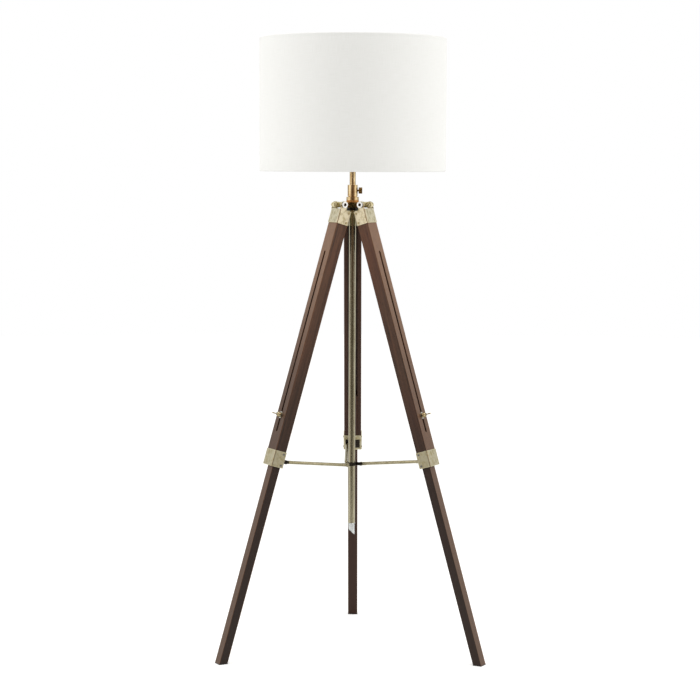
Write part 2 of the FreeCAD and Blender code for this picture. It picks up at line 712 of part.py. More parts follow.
def cable_outlet():
    """The clear bush in the tube's lower end, cut off at a slant, with a bore for the cord."""
    body = new_body()
    low = "tube_bottom - outlet_flange_height"
    bush = [("cord_radius", "tube_bottom - outlet_long_side"), ("outlet_radius", "tube_bottom - outlet_long_side"),
            ("outlet_radius", low), ("outlet_flange_radius", low), ("outlet_flange_radius", "tube_bottom"),
            ("tube_radius - tube_wall - fit_gap", "tube_bottom"),
            ("tube_radius - tube_wall - fit_gap", "tube_bottom + outlet_plug"),
            ("cord_radius", "tube_bottom + outlet_plug")]
    revolve(body, polygon(body, "XZ_Plane", bush))
    slant_low, reach = "tube_bottom - outlet_long_side - overcut", "(outlet_radius + overcut)"
    slant = [(f"-{reach}", slant_low), (reach, slant_low), (f"-{reach}", f"{slant_low} + 2 * {reach}")]
    pocket(body, polygon(body, "XZ_Plane", slant), f"2 * {reach}", True)
    part("cable_outlet", body)


def thumb_screw():
    """The screw that clamps the post, with a lobed knob; built along x."""
    end = "knob_start + knob_length"
    shaft = cylinder("thumb_screw_radius", "post_radius + head_gap", "knob_start", axis="x")
    lobes = [cylinder("knob_core_radius", "knob_start", end, axis="x")]
    for index in range(5):
        around = f"(knob_core_radius - knob_lobe_inset) * {{}}({72 * index})"
        lobes.append(cylinder("knob_lobe_radius", "knob_start", end, y=around.format("cos"),
                              z=around.format("sin"), axis="x"))
    part("thumb_screw", joined(shaft, *lobes), placed(z="thumb_screw_height"))


def post():
    tube("post", "post_radius", "post_radius - post_wall", "post_bottom", "holder_bottom + post_in_holder")


def lampholder():
    """A screw lampholder: cup on the post, threaded shell, contact plate and shade nut."""
    cup = cone("holder_cup_radius", "holder_radius", "holder_bottom", "shell_bottom")
    seat = cylinder("post_radius + fit_gap", "holder_bottom - overcut", "holder_bottom + post_in_holder")
    wire_way = cylinder("holder_bore_radius", "holder_bottom", "shell_bottom + overcut")
    part("lampholder_cup", without(cup, seat, wire_way))
    tube("lampholder_shell", "holder_radius", "holder_radius - holder_wall", "shell_bottom", "shell_top")
    plate_top = "shell_bottom + holder_plate_height"
    plate = cylinder("holder_radius - holder_wall - fit_gap", "shell_bottom", plate_top)
    contact = cylinder("contact_radius", plate_top, f"{plate_top} + contact_height")
    part("contact_plate", joined(plate, contact))
    nuts = []
    for low in ("fitter_height - shade_nut_height", "fitter_height + fitter_sheet"):
        high = f"{low} + shade_nut_height"
        nuts.append(without(cylinder("shade_nut_radius", low, high),
                            cylinder("holder_radius + fit_gap", f"{low} - overcut", f"{high} + overcut")))
    part("shade_nuts", grouped(*nuts))


def bulb():
    """A round bulb: metal screw cap and a glass envelope on a tapered neck."""
    cap_top = "bulb_bottom + bulb_cap_height"
    tip_top = "bulb_bottom + bulb_tip_height"
    cap = joined(cone("contact_radius", "bulb_cap_radius", "bulb_bottom", tip_top),
                 cylinder("bulb_cap_radius", tip_top, cap_top))
    part("bulb_cap", cap)
    globe = doc.addObject("Part::Sphere", "Sphere")
    bind(globe, Radius="bulb_radius", Placement=placed(z="bulb_centre"))
    neck = cone("bulb_cap_radius", "bulb_radius * sin(bulb_shoulder)",
                cap_top, "bulb_centre - bulb_radius * cos(bulb_shoulder)")
    part("bulb_glass", joined(globe, neck))


def shade():
    """The drum shade with a lipped edge, its two wire rings and the carrier on the lower one."""
    body = new_body()
    inside, lip = "shade_radius - shade_wall", "shade_radius - shade_wall - shade_lip"
    profile = [(lip, "shade_bottom"), ("shade_radius", "shade_bottom"), ("shade_radius", "shade_top"),
               (lip, "shade_top"), (lip, "shade_top - shade_wall"), (inside, "shade_top - shade_wall"),
               (inside, "shade_bottom + shade_wall"), (lip, "shade_bottom + shade_wall")]
    revolve(body, polygon(body, "XZ_Plane", profile))
    part("shade_drum", body)
    part("top_wire_ring", torus("wire_ring_radius", "wire_radius", "top_wire_height"))
    fitter = cylinder("fitter_radius", "fitter_height", "fitter_height + fitter_sheet")
    pieces = [fitter, torus("wire_ring_radius", "wire_radius", "low_wire_height")]
    rise = "(fitter_height + fitter_sheet / 2 - low_wire_height)"
    run = "(wire_ring_radius - fitter_radius + arm_overlap)"
    for number in (1, 2, 3):
        arm = doc.addObject("Part::Cylinder", "Cylinder")
        bind(arm, Radius="wire_radius", Height=f"sqrt({rise} ^ 2 + {run} ^ 2)")
        lean = f"rotation(vector(0; 1; 0); -atan({run} / {rise}))"
        bind(arm, Placement=(f"placement(vector(0; 0; 0); rotation(vector(0; 0; 1); {leg_azimuth(number)} + 60))"
                             f" * placement(vector(wire_ring_radius; 0; low_wire_height); {lean})"))
        pieces.append(arm)
    bore = cylinder("holder_radius + fit_gap", "fitter_height - overcut",
                    "fitter_height + fitter_sheet + overcut")
    part("shade_carrier", without(joined(*pieces), bore))


for leg in (1, 2, 3):
    upper_leg(leg)
    leg_cap(leg)
    collar(leg)
    wood_screws(leg)
    rod_bracket(leg)
    rod_pin(leg)
    lower_leg(leg)
    foot_pad(leg)
    clamp_bolt(leg)
    washer(leg)
    wing_nut(leg)
    spreader_rod(leg)
spreader_ring()
hub()
hinge_hardware()
spindle()
cable_outlet()
thumb_screw()
post()
lampholder()
bulb()
shade()
doc.recompute()

for item in doc.Objects:
    if "Invalid" in item.State or "Error" in item.State:
        raise RuntimeError(f"{item.Label} did not recompute: {item.State}")
for item in parts:
    if item.Shape.isNull() or not item.Shape.isValid() or not item.Shape.Solids:
        raise RuntimeError(f"{item.Label} has no valid solid")

os.makedirs("parts", exist_ok=True)
for item in parts:
    item.Shape.exportStep(os.path.join("parts", item.Label + ".step"))
print(len(parts), "parts,", sum(len(item.Shape.Solids) for item in parts), "solids")
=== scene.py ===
import json
import math
from functools import partial

import bmesh
import bpy
from mathutils import Matrix, Vector, noise


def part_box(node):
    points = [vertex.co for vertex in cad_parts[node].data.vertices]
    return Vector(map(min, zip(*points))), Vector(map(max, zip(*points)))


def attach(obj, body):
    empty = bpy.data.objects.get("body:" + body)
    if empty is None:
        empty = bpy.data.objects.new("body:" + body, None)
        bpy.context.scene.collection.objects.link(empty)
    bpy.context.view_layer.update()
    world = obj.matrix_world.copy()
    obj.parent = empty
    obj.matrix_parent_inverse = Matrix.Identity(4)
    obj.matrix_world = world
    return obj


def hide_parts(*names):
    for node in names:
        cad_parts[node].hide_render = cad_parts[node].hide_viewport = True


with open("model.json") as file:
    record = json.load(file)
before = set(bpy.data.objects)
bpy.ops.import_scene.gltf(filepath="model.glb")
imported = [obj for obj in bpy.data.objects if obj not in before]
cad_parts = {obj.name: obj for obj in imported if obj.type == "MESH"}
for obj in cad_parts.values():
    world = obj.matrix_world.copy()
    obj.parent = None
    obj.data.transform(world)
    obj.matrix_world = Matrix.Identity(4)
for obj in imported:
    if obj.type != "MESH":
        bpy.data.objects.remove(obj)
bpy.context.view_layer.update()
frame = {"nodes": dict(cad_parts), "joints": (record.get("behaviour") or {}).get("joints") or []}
joints = {joint["name"]: joint for joint in frame["joints"]}
legNumbers = (1, 2, 3)


def linearColour(hexCode):
    channels = [int(hexCode[at:at + 2], 16) / 255 for at in (1, 3, 5)]
    return [c / 12.92 if c <= 0.04045 else ((c + 0.055) / 1.055) ** 2.4 for c in channels] + [1.0]


# Adds a node, sets its options, fills its sockets with a value, a hex colour or a link, and
# hands back one of its outputs.
def addNode(tree, kind, sockets, output=0, **options):
    node = tree.nodes.new("ShaderNode" + kind)
    for name, option in options.items():
        setattr(node, name, option)
    for name, source in sockets.items():
        if isinstance(source, bpy.types.NodeSocket):
            tree.links.new(source, node.inputs[name])
        elif isinstance(source, str):
            node.inputs[name].default_value = linearColour(source)
        else:
            node.inputs[name].default_value = source
    return node.outputs[output] if node.outputs else node


# A new empty material, and addNode bound to its tree.
def startMaterial(name):
    material = bpy.data.materials.new(name)
    material.use_nodes = True
    material.node_tree.nodes.clear()
    return material, partial(addNode, material.node_tree)


# Scale for a pattern whose marks are this many millimetres along x, y and z.
def perMm(size):
    return [1000 / part for part in size]


# A leg's own axes: x out of its outer face, y across it and z up along it, from the wing nut's seat.
def legMatrix(number):
    out = Vector(joints[f"wing_turn_{number}"]["axis"])
    up = -Vector(joints[f"extend_{number}"]["axis"])
    axes = Matrix((out, up.cross(out), up)).transposed().to_4x4()
    axes.translation = Vector(joints[f"wing_turn_{number}"]["pos_m"])
    return axes


def legSpace(add, number):
    back = legMatrix(number).inverted()
    own = add("TexCoord", {}, "Object")
    return add("Mapping", {"Vector": own, "Location": back.translation, "Rotation": back.to_euler()})


# How far a node reaches along its leg's own axes, in metres.
def legReach(name, number):
    back = legMatrix(number).inverted()
    points = [back @ vertex.co for vertex in frame["nodes"][name].data.vertices]
    along = [[point[axis] for point in points] for axis in range(3)]
    return [(min(places), max(places)) for places in along]


def paint(name, material):
    for materialSlot in frame["nodes"][name].material_slots:
        materialSlot.material = material


def ringOfPoints(place, radius, height, steps):
    turns = [2 * math.pi * step / steps for step in range(steps)]
    return [place @ Vector((radius * math.cos(turn), radius * math.sin(turn), height)) for turn in turns]


# Turns an outline of (radius, height) pairs about an axis.
def lathe(shape, outline, place=Matrix(), steps=64, closed=False):
    rings = [[shape.verts.new(point) for point in ringOfPoints(place, radius, height, steps)]
             for radius, height in outline]
    neighbours = list(zip(rings, rings[1:])) + ([(rings[-1], rings[0])] if closed else [])
    for low, high in neighbours:
        for step in range(steps):
            after = (step + 1) % steps
            shape.faces.new((low[step], low[after], high[after], high[step]))
    return rings


def addObject(name, shape, material):
    bmesh.ops.recalc_face_normals(shape, faces=shape.faces)
    mesh = bpy.data.meshes.new(name)
    shape.to_mesh(mesh)
    shape.free()
    mesh.polygons.foreach_set("use_smooth", [True] * len(mesh.polygons))
    mesh.materials.append(material)
    piece = bpy.data.objects.new(name, mesh)
    bpy.context.scene.collection.objects.link(piece)
    return piece


def addPiece(name, shape, body, slotName, material, *nodes):
    piece = addObject(name, shape, material)
    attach(piece, body)
    if nodes:
        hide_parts(*nodes)
    return piece


# Camera, at chest height and turned a little round the lamp: metres, degrees and the lens in mm.
camera = {"distance": 4.905, "height": 1.2246, "pitch": 5.49, "turn": 0.64, "roll": 0.2,
          "lens": 101.54, "sensor": 36.0, "shift": -0.003, "reach": 60}


def placeCamera():
    data = bpy.data.cameras.new("viewCamera")
    data.lens = camera["lens"]
    data.sensor_width = camera["sensor"]
    data.shift_x = camera["shift"]
    data.clip_end = camera["reach"]
    viewer = bpy.data.objects.new("viewCamera", data)
    bpy.context.scene.collection.objects.link(viewer)
    turn = Matrix.Rotation(math.radians(camera["turn"]), 4, "Z")
    stand = Matrix.Translation((0, -camera["distance"], camera["height"]))
    tip = Matrix.Rotation(math.radians(90 - camera["pitch"]), 4, "X")
    viewer.matrix_world = turn @ stand @ tip @ Matrix.Rotation(math.radians(camera["roll"]), 4, "Z")
    bpy.context.scene.camera = viewer


placeCamera()
print("camera placed")


# Rubberwood, spirit-stained walnut under satin lacquer. The stain sits dark in the long pores,
# straight fibres show as fine streaks, and the colour deepens towards the feet. Wear has rubbed the
# edges back to a warmer brown, with painted warm light on top at one corner. The outer faces are
# painted lighter, more so higher up, as painted light and sheen, and the faces towards the middle
# are painted darker, as painted shade.
# Each kind of mark has its size in mm, and the stretch of its pattern over which it comes in. The
# pores are drawn about four times as wide as real ones, so that they show from a few steps away.
wood = {
    "deep": "#3a2617", "stain": "#5e3d28", "light": "#7a5238", "red": "#6e3a20", "pore": "#1a0f08",
    "foot": "#1e1007", "rubbedAndLit": "#a66c46", "litOuterFace": "#8c6a50", "thick": "#3a1d0b",
    "fibre": {"size": (0.9, 0.9, 80), "detail": 5.0, "distortion": 0.15, "from": 0.34, "to": 0.62},
    "band": {"size": (8, 8, 380), "detail": 2.0, "distortion": 0.6, "from": 0.42, "to": 0.76},
    "patch": {"size": (60, 60, 190), "detail": 2.0, "distortion": 0.0, "from": 0.40, "to": 0.66},
    "pores": {"size": (0.8, 0.8, 22), "detail": 2.0, "distortion": 0.0, "from": 0.60, "to": 0.70},
    "ragged": {"size": (3, 3, 35), "detail": 3.0, "distortion": 0.0, "from": 0.3, "to": 0.7},
    "bandShare": 0.8, "poreShare": 0.6, "deepenFrom": 1.08, "deepenTo": 0.42, "deepenShare": 0.9,
    "litFrom": 0.72, "litTo": 1.0, "faceFrom": 0.5, "faceTo": 0.8, "insideShadeShare": 0.75,
    "marginLeast": 0.3, "rubFull": 0.3, "bump": 0.5, "relief": 0.0002, "roughness": (0.38, 0.54),
    "ior": 1.5, "sheen": 0.34, "lacquer": 0.08, "lacquerRoughness": 0.3,
}


def stainedRubberwood(name, number, pieceName, look, outerLight):
    material, add = startMaterial(name)
    space = legSpace(add, number)
    marks = {}
    for key in ("fibre", "band", "patch", "pores", "ragged"):
        scaled = add("Mapping", {"Vector": space, "Scale": perMm(wood[key]["size"])})
        marks[key] = add("TexNoise", {"Vector": scaled, "Scale": 1.0, "Detail": wood[key]["detail"],
                                      "Distortion": wood[key]["distortion"]})
    colour = wood["deep"]
    for key, over, share in (("fibre", "stain", 1.0), ("band", "light", wood["bandShare"]),
                             ("patch", "red", look["redness"])):
        amount = add("MapRange", {0: marks[key], 1: wood[key]["from"], 2: wood[key]["to"], 4: share})
        colour = add("Mix", {0: amount, 6: colour, 7: wood[over]}, 2, data_type="RGBA")
    height = add("SeparateXYZ", {0: add("TexCoord", {}, "Object")}, 2)
    # the colour deepens towards the feet
    deepening = add("MapRange", {0: height, 1: wood["deepenFrom"], 2: wood["deepenTo"], 4: wood["deepenShare"]})
    # 1 on the leg's outer face, -1 on the one towards the middle
    facing = add("VectorMath", {0: add("TexCoord", {}, "Normal"), 1: legMatrix(number).col[0].xyz},
                 "Value", operation="DOT_PRODUCT")
    # painted light and sheen: the outer face is painted lighter, by a share that grows with height
    lowLight, highLight = outerLight
    outerLit = add("MapRange", {0: height, 1: wood["litFrom"], 2: wood["litTo"], 3: lowLight, 4: highLight})
    outer = add("MapRange", {0: facing, 1: wood["faceFrom"], 2: wood["faceTo"]})
    outerLit = add("Math", {0: outerLit, 1: outer}, operation="MULTIPLY")
    # painted shade: the faces towards the middle take the "thick" colour, a darker brown painted as shade
    innerShade = add("MapRange", {0: facing, 1: -wood["faceFrom"], 2: -wood["faceTo"], 4: wood["insideShadeShare"]})
    inPores = add("MapRange", {0: marks["pores"], 1: wood["pores"]["from"], 2: wood["pores"]["to"],
                               4: wood["poreShare"]})
    for amount, over in ((deepening, "foot"), (outerLit, "litOuterFace"), (innerShade, "thick"), (inPores, "pore")):
        colour = add("Mix", {0: amount, 6: colour, 7: wood[over]}, 2, data_type="RGBA")
    # how far in from the piece's four long corners, with a ragged margin
    (back, front), (near, far), along = legReach(pieceName, number)
    outward = add("SeparateXYZ", {0: space}, 0)
    across = add("SeparateXYZ", {0: space}, 1)
    fromMiddle = add("Math", {0: outward, 1: (front + back) / 2}, operation="SUBTRACT")
    fromMiddle = add("Math", {0: fromMiddle}, operation="ABSOLUTE")
    fromFace = add("Math", {0: (front - back) / 2, 1: fromMiddle}, operation="SUBTRACT")
    sideways = add("Math", {0: across}, operation="ABSOLUTE")
    fromSide = add("Math", {0: (far - near) / 2, 1: sideways}, operation="SUBTRACT")
    corner = add("Math", {0: fromFace, 1: fromSide}, operation="MAXIMUM")
    margin = add("MapRange", {0: marks["ragged"], 1: wood["ragged"]["from"], 2: wood["ragged"]["to"],
                              3: look["edge"] * wood["marginLeast"], 4: look["edge"]})
    corner = add("Math", {0: corner, 1: margin}, operation="DIVIDE")
    rubbedAndLit = add("MapRange", {0: corner, 1: 1.0, 2: wood["rubFull"], 4: look["rubbing"]})
    # the chosen corner gets the most: wear, with a painted warm light from one side on top of it
    axis, least, most = look["warmLitSide"]
    place, low, high = ((outward, back, front), (across, near, far))[axis]
    share = add("MapRange", {0: place, 1: low, 2: high, 3: least, 4: most})
    rubbedAndLit = add("Math", {0: rubbedAndLit, 1: share}, operation="MULTIPLY")
    colour = add("Mix", {0: rubbedAndLit, 6: colour, 7: wood["rubbedAndLit"]}, 2, data_type="RGBA")
    skin = add("Math", {0: marks["fibre"], 1: inPores}, operation="SUBTRACT")
    bump = add("Bump", {"Strength": wood["bump"], "Distance": wood["relief"], "Height": skin})
    smooth, rough = wood["roughness"]
    shader = add("BsdfPrincipled", {
        "Base Color": colour, "Roughness": add("MapRange", {0: marks["fibre"], 3: smooth, 4: rough}),
        "IOR": wood["ior"], "Specular IOR Level": wood["sheen"], "Normal": bump,
        "Coat Weight": wood["lacquer"], "Coat Roughness": wood["lacquerRoughness"]})
    add("OutputMaterial", {0: shader})
    return material


# Each leg has its own settings, for its wear and for its painted light. "edge" is how far in the
# rubbing goes, in metres. The corner entry is the axis along which it changes, with its share at
# either end: 0 is out of the outer face and 1 is across it; the most goes where painted warm light
# falls on the wear. "upper" and "lower" hold the painted light on that half's outer face, low down
# and high up.
legFinish = {
    1: {"redness": 0.4, "rubbing": 0.3, "edge": 0.0025, "warmLitSide": (0, 0.6, 1.0),
        "upper": (0.2, 0.75), "lower": (0.3, 0.3)},
    2: {"redness": 0.3, "rubbing": 0.5, "edge": 0.0035, "warmLitSide": (0, 1.0, 0.2),
        "upper": (0.2, 0.8), "lower": (0.35, 0.35)},
    3: {"redness": 0.45, "rubbing": 0.6, "edge": 0.0045, "warmLitSide": (1, 0.0, 1.0),
        "upper": (0.45, 0.8), "lower": (0.4, 0.4)},
}
for number, look in legFinish.items():
    for half in ("upper", "lower"):
        pieceName = f"{half}_leg_{number}"
        stain = stainedRubberwood(f"stainedRubberwood_{pieceName}", number, pieceName, look, look[half])
        paint(pieceName, stain)
print("legs stained and lacquered")


# Pressed brass sheet, antique-dipped and relieved: a greyed gold with cloudy brown left in the
# hollows and fine rubbing marks along the leg. The cut rims are bare metal painted brighter with a
# painted highlight, each bend carries a browner line of painted shade, and the caps get a paler gold
# than the collars as painted light.
pressedBrass = {
    "litCapGold": "#dbd3b6", "gold": "#c9c1a3", "grey": "#b6b29f", "brown": "#a99b6d", "rim": "#e6e0bb",
    "bendShade": "#bd8140",
    "cloud": {"size": (8, 8, 10), "detail": 4.0, "distortion": 0.4, "from": 0.30, "to": 0.55},
    "speck": {"size": (1.1, 1.1, 1.6), "detail": 2.0, "distortion": 0.0, "from": 0.48, "to": 0.75},
    "rub": {"size": (0.7, 0.7, 14), "detail": 2.0, "distortion": 0.0},
    "bendWidth": 0.0014, "bendCore": 0.3, "bendShare": 0.75, "rimWidth": 0.0013, "rimCore": 0.4,
    "rimHighlightShare": 0.8, "bump": 0.4, "relief": 0.00005, "polishFrom": 0.7, "polishTo": 1.3,
    "roughness": (0.32, 0.48),
}


def antiquePressedBrass(name, number, pieceName):
    material, add = startMaterial(name)
    space = legSpace(add, number)
    marks = {}
    for key in ("cloud", "speck", "rub"):
        scaled = add("Mapping", {"Vector": space, "Scale": perMm(pressedBrass[key]["size"])})
        marks[key] = add("TexNoise", {"Vector": scaled, "Scale": 1.0, "Detail": pressedBrass[key]["detail"],
                                      "Distortion": pressedBrass[key]["distortion"]})
    # painted light: the caps get a paler copy of the gold than the collars
    gold = pressedBrass["litCapGold" if pieceName.startswith("leg_cap") else "gold"]
    colour = pressedBrass["brown"]
    for key, over in (("cloud", gold), ("speck", pressedBrass["grey"])):
        amount = add("MapRange", {0: marks[key], 1: pressedBrass[key]["from"], 2: pressedBrass[key]["to"]})
        colour = add("Mix", {0: amount, 6: colour, 7: over}, 2, data_type="RGBA")
    # painted shade along the bends, which run along the two outer corners
    (back, front), (near, far), (low, high) = legReach(pieceName, number)
    outward = add("SeparateXYZ", {0: space}, 0)
    sideways = add("Math", {0: add("SeparateXYZ", {0: space}, 1)}, operation="ABSOLUTE")
    fromSide = add("Math", {0: (far - near) / 2, 1: sideways}, operation="SUBTRACT")
    fromFace = add("Math", {0: front, 1: outward}, operation="SUBTRACT")
    fromBend = add("Math", {0: fromSide, 1: fromFace}, operation="MAXIMUM")
    width = pressedBrass["bendWidth"]
    bendShade = add("MapRange", {0: fromBend, 1: width, 2: width * pressedBrass["bendCore"],
                            4: pressedBrass["bendShare"]})
    colour = add("Mix", {0: bendShade, 6: colour, 7: pressedBrass["bendShade"]}, 2, data_type="RGBA")
    # a cap has one cut rim, at its foot, and a collar has two; each is painted brighter, bare metal with a
    # painted highlight on it
    along = add("SeparateXYZ", {0: space}, 2)
    rims = [low, high] if pieceName.startswith("collar") else [low]
    width = pressedBrass["rimWidth"]
    for rim in rims:
        fromRim = add("Math", {0: along, 1: rim}, operation="SUBTRACT")
        fromRim = add("Math", {0: fromRim}, operation="ABSOLUTE")
        bright = add("MapRange", {0: fromRim, 1: width, 2: width * pressedBrass["rimCore"],
                                  4: pressedBrass["rimHighlightShare"]})
        colour = add("Mix", {0: bright, 6: colour, 7: pressedBrass["rim"]}, 2, data_type="RGBA")
    skin = add("Math", {0: marks["cloud"], 1: marks["rub"]}, operation="ADD")
    bump = add("Bump", {"Strength": pressedBrass["bump"], "Distance": pressedBrass["relief"],
                        "Height": skin})
    smooth, rough = pressedBrass["roughness"]
    shader = add("BsdfPrincipled", {
        "Base Color": colour, "Metallic": 1.0, "Normal": bump,
        "Roughness": add("MapRange", {0: skin, 1: pressedBrass["polishFrom"], 2: pressedBrass["polishTo"],
                                      3: rough, 4: smooth})})
    add("OutputMaterial", {0: shader})
    return material


for number in legNumbers:
    for pieceName in (f"leg_cap_{number}", f"collar_{number}"):
        paint(pieceName, antiquePressedBrass(f"antiquePressedBrass_{pieceName}", number, pieceName))
print("caps and collars dipped")


# Metal parts made on a lathe or drawn as bar and tube. The streaks are the drawing or turning
# marks, and the cloud is where the dip took unevenly. Each pair is the stretch of a pattern over
# which its marks come in. A socket's painted shade is wholly black within this share of its radius.
metalSkin = {
    "cloudDetail": 3.0, "cloudDistortion": 0.3, "streakDetail": 2.0,
    "clouds": (0.36, 0.64), "streaks": (0.50, 0.72), "polish": (0.3, 0.7), "bump": 0.35, "socketFull": 0.85,
}


def drawnMetal(name, look):
    material, add = startMaterial(name)
    space = add("TexCoord", {}, "Object")
    scaled = add("Mapping", {"Vector": space, "Scale": perMm(look["cloud"])})
    cloud = add("TexNoise", {"Vector": scaled, "Scale": 1.0, "Detail": metalSkin["cloudDetail"],
                             "Distortion": metalSkin["cloudDistortion"]})
    scaled = add("Mapping", {"Vector": space, "Scale": perMm(look["streak"])})
    streak = add("TexNoise", {"Vector": scaled, "Scale": 1.0, "Detail": metalSkin["streakDetail"]})
    colour = look["dark"]
    for pattern, key, over in ((cloud, "clouds", "light"), (streak, "streaks", "bright")):
        begin, full = metalSkin[key]
        amount = add("MapRange", {0: pattern, 1: begin, 2: full})
        colour = add("Mix", {0: amount, 6: colour, 7: look[over]}, 2, data_type="RGBA")
    height = add("SeparateXYZ", {0: space}, 2)
    if "socket" in look:
        # painted shade: black round each hinge pin's axis, for the dark in the hexagon sockets, on the nut
        # ends too
        hinge = Vector(joints["fold_1"]["pos_m"])
        for number in legNumbers:
            out = Vector(joints[f"wing_turn_{number}"]["axis"])
            out = Vector((out.x, out.y, 0)).normalized()
            reach = add("VectorMath", {0: space, 1: out}, "Value", operation="DOT_PRODUCT")
            reach = add("Math", {0: reach, 1: math.hypot(hinge.x, hinge.y)}, operation="SUBTRACT")
            rise = add("Math", {0: height, 1: hinge.z}, operation="SUBTRACT")
            offset = add("CombineXYZ", {0: reach, 2: rise})
            distance = add("VectorMath", {0: offset}, "Value", operation="LENGTH")
            inside = add("MapRange", {0: distance, 1: look["socketRadius"],
                                      2: look["socketRadius"] * metalSkin["socketFull"]})
            colour = add("Mix", {0: inside, 6: colour, 7: look["socket"]}, 2, data_type="RGBA")
    if "litTone" in look:
        high = add("Math", {0: height, 1: look["litAbove"]}, operation="GREATER_THAN")
        colour = add("Mix", {0: high, 6: colour, 7: look["litTone"]}, 2, data_type="RGBA")
    skin = add("Math", {0: streak, 1: cloud}, operation="ADD")
    bump = add("Bump", {"Strength": metalSkin["bump"], "Distance": look["relief"], "Height": skin})
    begin, full = metalSkin["polish"]
    smooth, rough = look["roughness"]
    shader = add("BsdfPrincipled", {
        "Base Color": colour, "Metallic": 1.0, "Normal": bump,
        "Roughness": add("MapRange", {0: cloud, 1: begin, 2: full, 3: rough, 4: smooth})})
    add("OutputMaterial", {0: shader})
    return material


# Drawn brass tube, antique-dipped: pale greyed gold with long faint draw marks.
tubeBrass = drawnMetal("antiqueDrawnBrass", {
    "light": "#c6bfa3", "dark": "#aaa183", "bright": "#d4cdb4",
    "cloud": (9, 9, 60), "streak": (1.0, 1.0, 80), "roughness": (0.20, 0.28), "relief": 0.000008})
# The same brass as round bar: even, with only short faint marks.
barBrass = drawnMetal("antiqueBarBrass", {
    "light": "#bab395", "dark": "#9e9676", "bright": "#c5bda1",
    "cloud": (25, 25, 25), "streak": (1.5, 1.5, 1.5), "roughness": (0.28, 0.38), "relief": 0.00002})
# Turned brass left warmer: golden, with fine rings from the tool.
turnedBrass = drawnMetal("warmTurnedBrass", {
    "light": "#cdb98f", "dark": "#b08b58", "bright": "#dccba3",
    "cloud": (9, 9, 22), "streak": (14, 14, 0.8), "roughness": (0.22, 0.34), "relief": 0.00003})
# Turned ring in copper-toned bronze.
copperBronze = drawnMetal("copperTonedBronze", {
    "light": "#d09a5a", "dark": "#a56c39", "bright": "#dcaa6c",
    "cloud": (7, 7, 5), "streak": (12, 12, 0.8), "roughness": (0.45, 0.6), "relief": 0.00003})
# Knurled knob, dark-dipped, with the brass showing on its ridges.
dippedBrass = drawnMetal("darkDippedBrass", {
    "light": "#8a6a35", "dark": "#463520", "bright": "#c39a55",
    "cloud": (3, 3, 3), "streak": (1.2, 1.2, 1.2), "roughness": (0.26, 0.4), "relief": 0.00006})
# Die-cast brass, tumbled: brighter yellow with darker hollows.
castBrass = drawnMetal("tumbledCastBrass", {
    "light": "#e4d5a6", "dark": "#b8a26c", "bright": "#f4ecca",
    "cloud": (4, 4, 4), "streak": (1.2, 1.2, 1.2), "roughness": (0.24, 0.36), "relief": 0.00008})
# Cream-gold lacquered brass of the stop bolts' heads.
paleBrass = drawnMetal("paleLacqueredBrass", {
    "light": "#d6cda8", "dark": "#b9ad80", "bright": "#e9e2c4",
    "cloud": (5, 5, 5), "streak": (1, 1, 1), "roughness": (0.3, 0.42), "relief": 0.00004})
# Nickel-plated steel, machine finished: cool bright grey with hairline marks.
platedSteel = drawnMetal("nickelPlatedSteel", {
    "light": "#d6d3ca", "dark": "#b3afa3", "bright": "#f0eee8",
    "cloud": (3, 3, 3), "streak": (0.5, 0.5, 4), "roughness": (0.18, 0.30), "relief": 0.00003})
# The same plating, colder and paler, on the hinge pins, with black painted shade round their axis.
socketSteel = drawnMetal("nickelPlatedSteelShadedSockets", {
    "light": "#dadddc", "dark": "#b9bcba", "bright": "#f0f3f2",
    "cloud": (3, 3, 3), "streak": (0.5, 0.5, 4), "roughness": (0.2, 0.3), "relief": 0.00003,
    "socket": "#2c1f19", "socketRadius": 0.0041})
# Zinc-plated screws and bolts gone dull in the wood: dark blue-grey.
dullZinc = {
    "light": "#8d8b88", "dark": "#5f5d5c", "bright": "#a9a7a2",
    "cloud": (2, 2, 2), "streak": (0.6, 0.6, 2), "roughness": (0.35, 0.5), "relief": 0.00004,
}
dulledSteel = drawnMetal("dulledZincSteel", dullZinc)
# Wood screws: bare zinc in the collars; in the caps a paler brass tone, painted light to match the caps.
woodScrewSteel = drawnMetal("screwSteelLitInCaps", dullZinc | {"litTone": "#b3a67e", "litAbove": 0.8})
# Steel with a black oxide: near black, slightly brown, soft sheen.
blackenedSteel = drawnMetal("blackOxideSteel", {
    "light": "#38332e", "dark": "#211e1c", "bright": "#4c443b",
    "cloud": (4, 4, 4), "streak": (0.8, 0.8, 3), "roughness": (0.36, 0.52), "relief": 0.00006})

# Sand-cast brass head, relieved to a pale greyed gold along the arms. Nearer the middle the colour
# is painted light and shade: the neck dark, as painted shade, and golden brown where the arms leave
# it, as a painted warm reflection. The sand leaves a pebbly skin. The colour changes at three
# distances from the middle, in metres.
castHead = {
    "neck": "#75633f", "neckDark": "#453824", "reflectedRoot": "#bb8640", "arm": "#ebe2c2", "armDark": "#d5c9a0",
    "sand": (1.6, 1.6, 1.6), "detail": 3.0,
    "cloud": (7, 7, 7), "cloudDistortion": 0.4, "cloudFrom": 0.35, "cloudTo": 0.62,
    "neckEnd": 0.0125, "rootEnd": 0.021, "armStart": 0.030,
    "bump": 0.4, "relief": 0.00018, "roughness": (0.58, 0.72),
}


